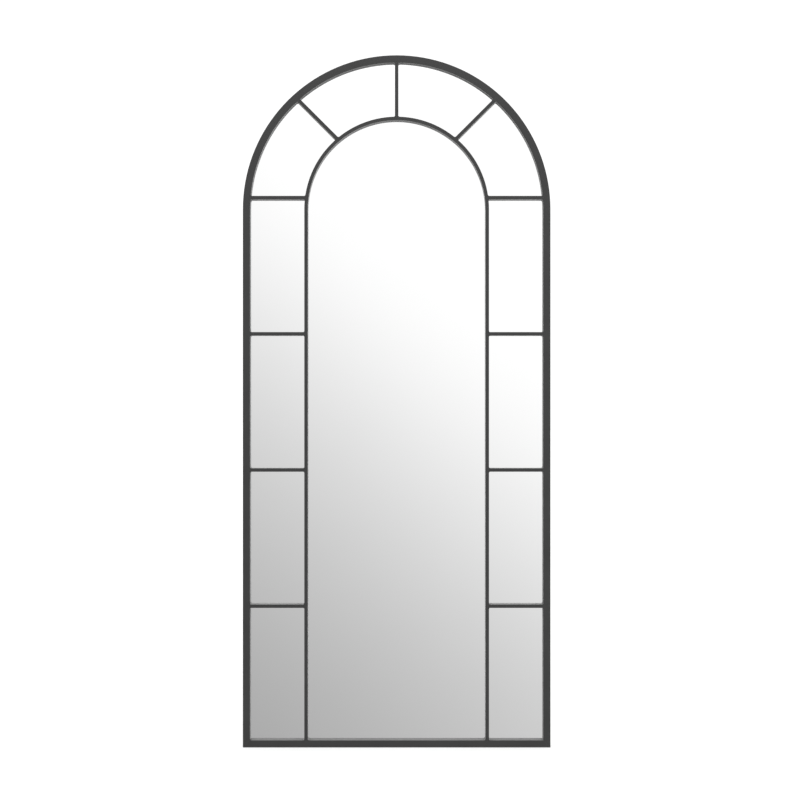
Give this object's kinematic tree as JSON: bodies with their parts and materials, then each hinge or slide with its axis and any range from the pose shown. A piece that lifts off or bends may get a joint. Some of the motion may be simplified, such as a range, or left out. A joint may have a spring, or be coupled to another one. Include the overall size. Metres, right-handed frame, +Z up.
{
  "type": "arched window mirror",
  "caption": "Tall arched mirror in a slim dark steel frame, with glazing bars that form an inner arched border and a fan of bars, and two D-rings on its back.",
  "frame": {"origin": "middle of the bottom rail's underside, halfway between front and back", "axes": "+Z up along the mirror's height, +X to the right as seen from the front, -Y out of the glass towards the viewer"},
  "size_m": [0.8, 0.03, 1.8],
  "materials": {
    "frame_paint": "charcoal powder coat, satin, with a fine even texture",
    "mirror_glass": "silvered float glass, clean, with ground edges",
    "hardboard": "brown hardboard, smooth, with fine fibres",
    "rubber": "black, matt",
    "lug_paint": "charcoal powder coat over cut steel",
    "screw_zinc": "bright zinc plate",
    "hanger_zinc": "zinc-plated pressed steel",
    "ring_zinc": "zinc-plated bent wire"
  },
  "bodies": {
    "mirror": {"frame_stile_left": "frame_paint", "frame_arch": "frame_paint", "frame_stile_right": "frame_paint", "frame_bottom_rail": "frame_paint", "border_bar_left": "frame_paint", "border_arch": "frame_paint", "border_bar_right": "frame_paint", "side_bar_left_1": "frame_paint", "side_bar_left_2": "frame_paint", "side_bar_left_3": "frame_paint", "side_bar_left_4": "frame_paint", "side_bar_right_1": "frame_paint", "side_bar_right_2": "frame_paint", "side_bar_right_3": "frame_paint", "side_bar_right_4": "frame_paint", "fan_bar_left": "frame_paint", "fan_bar_centre": "frame_paint", "fan_bar_right": "frame_paint", "mirror_glass": "mirror_glass", "backing_board": "hardboard", "setting_block_left": "rubber", "setting_block_right": "rubber", "lug_left_1": "lug_paint", "lug_left_2": "lug_paint", "lug_left_3": "lug_paint", "lug_right_1": "lug_paint", "lug_right_2": "lug_paint", "lug_right_3": "lug_paint", "lug_arch_1": "lug_paint", "lug_arch_2": "lug_paint", "lug_arch_3": "lug_paint", "lug_arch_4": "lug_paint", "lug_bottom_1": "lug_paint", "lug_bottom_2": "lug_paint", "hanger_lug_left": "lug_paint", "hanger_lug_right": "lug_paint", "board_screw_left_1": "screw_zinc", "board_screw_left_2": "screw_zinc", "board_screw_left_3": "screw_zinc", "board_screw_right_1": "screw_zinc", "board_screw_right_2": "screw_zinc", "board_screw_right_3": "screw_zinc", "board_screw_arch_1": "screw_zinc", "board_screw_arch_2": "screw_zinc", "board_screw_arch_3": "screw_zinc", "board_screw_arch_4": "screw_zinc", "board_screw_bottom_1": "screw_zinc", "board_screw_bottom_2": "screw_zinc", "hanger_screw_left_lower": "screw_zinc", "hanger_screw_left_upper": "screw_zinc", "hanger_screw_right_lower": "screw_zinc", "hanger_screw_right_upper": "screw_zinc", "hanger_plate_left": "hanger_zinc", "hanger_plate_right": "hanger_zinc"},
    "ring_left": {"hanger_ring_left": "ring_zinc"},
    "ring_right": {"hanger_ring_right": "ring_zinc"}
  },
  "joints": [
    {"name": "ring_left_swing", "type": "hinge", "parent": "mirror", "child": "ring_left", "pos_m": [-0.369, 0.0087, 1.26], "axis": [1, 0, 0], "range_deg": [0, 180]},
    {"name": "ring_right_swing", "type": "hinge", "parent": "mirror", "child": "ring_right", "pos_m": [0.369, 0.0087, 1.26], "axis": [1, 0, 0], "range_deg": [0, 180]}
  ]
}
